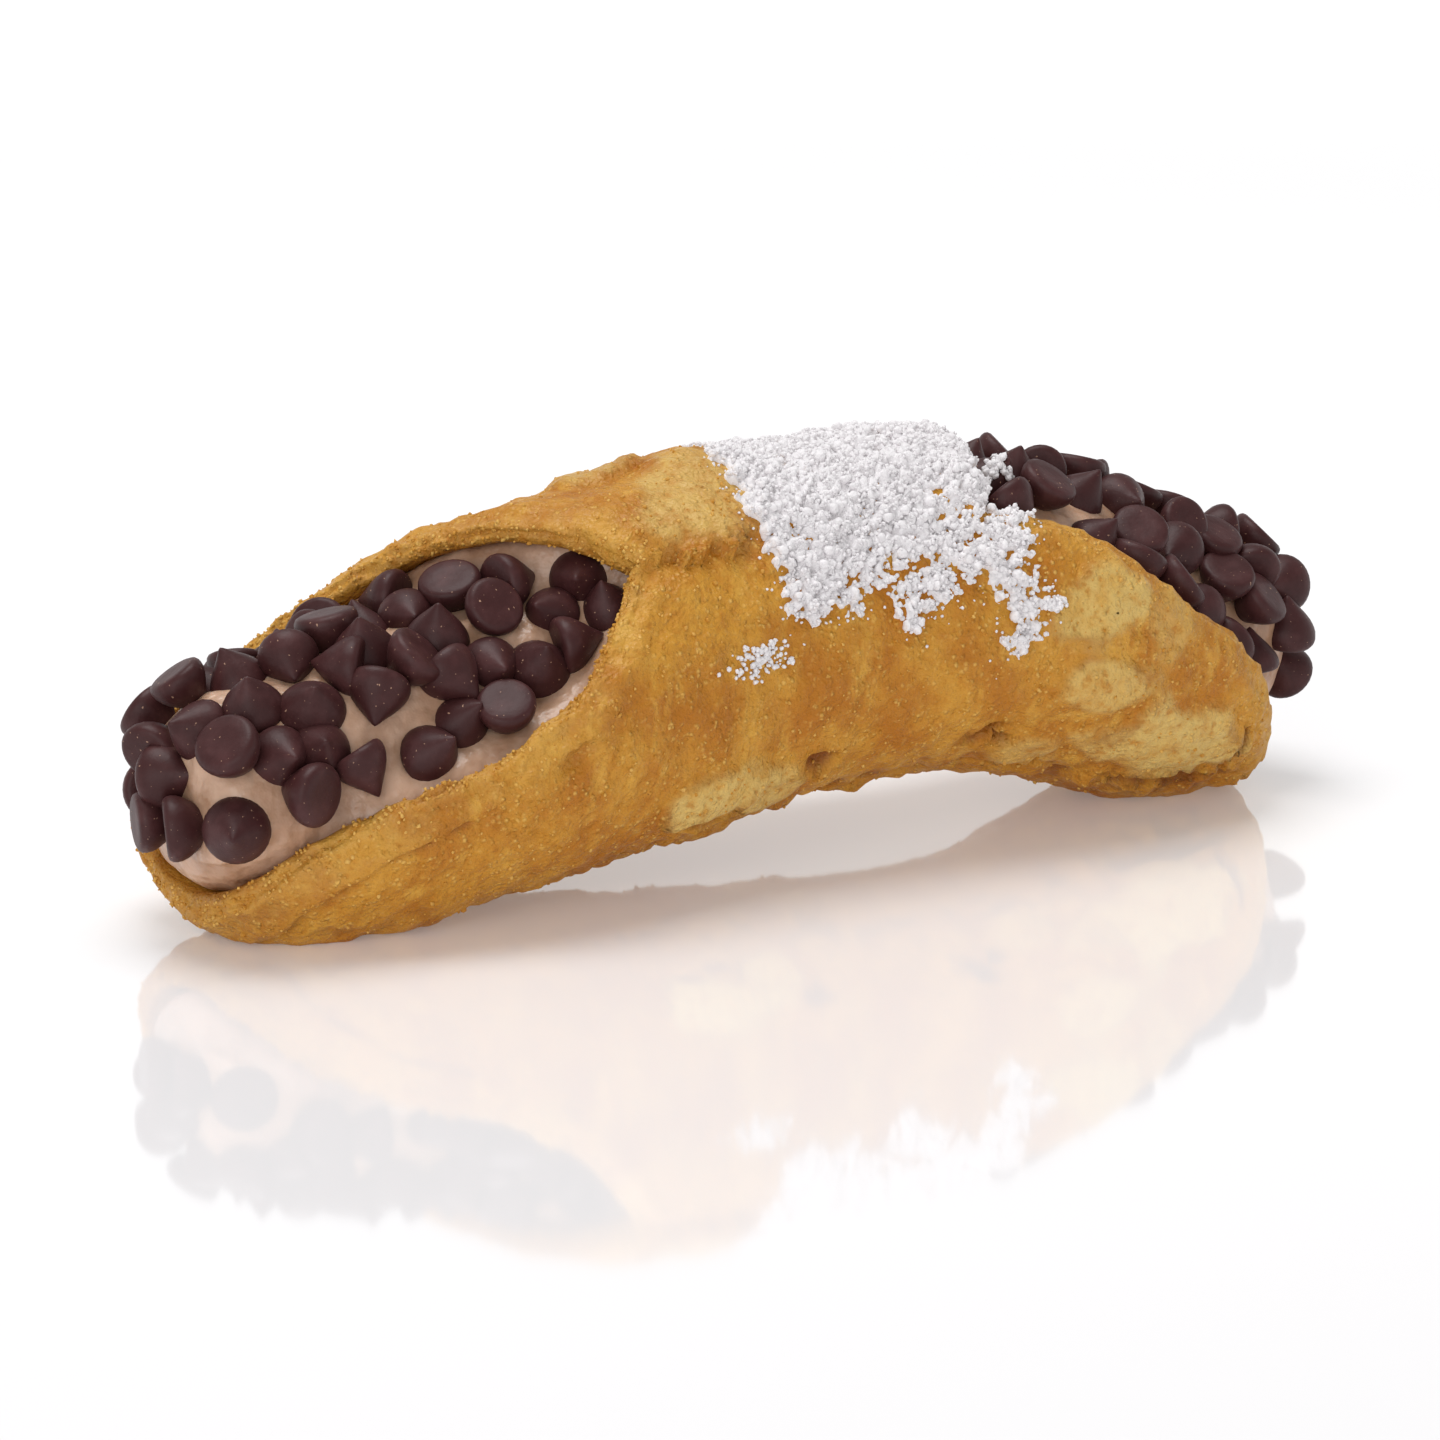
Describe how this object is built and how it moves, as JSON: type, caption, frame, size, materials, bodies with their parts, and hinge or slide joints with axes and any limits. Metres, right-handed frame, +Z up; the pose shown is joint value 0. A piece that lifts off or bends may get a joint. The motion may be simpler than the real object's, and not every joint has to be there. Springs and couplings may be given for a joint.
{
  "type": "cannoli",
  "caption": "Filled cannolo: a fried round of dough wrapped into a tube, chocolate drops pressed into the cream at both open mouths, powdered sugar on top",
  "frame": {"origin": "middle of the box's base, on the surface that the cannolo rests on", "axes": "+X along the tube from its narrower end to its wider one, +Z up, the seam on the upper side towards -Y"},
  "size_m": [0.1342, 0.0398, 0.0421],
  "materials": {
    "fried_dough": "golden brown, crumbly",
    "cream": "tan, softly glossy",
    "sugar": "white, powdery"
  },
  "bodies": {
    "root": {"shell": "fried_dough", "filling": "cream", "powdered_sugar": "sugar"}
  },
  "joints": []
}
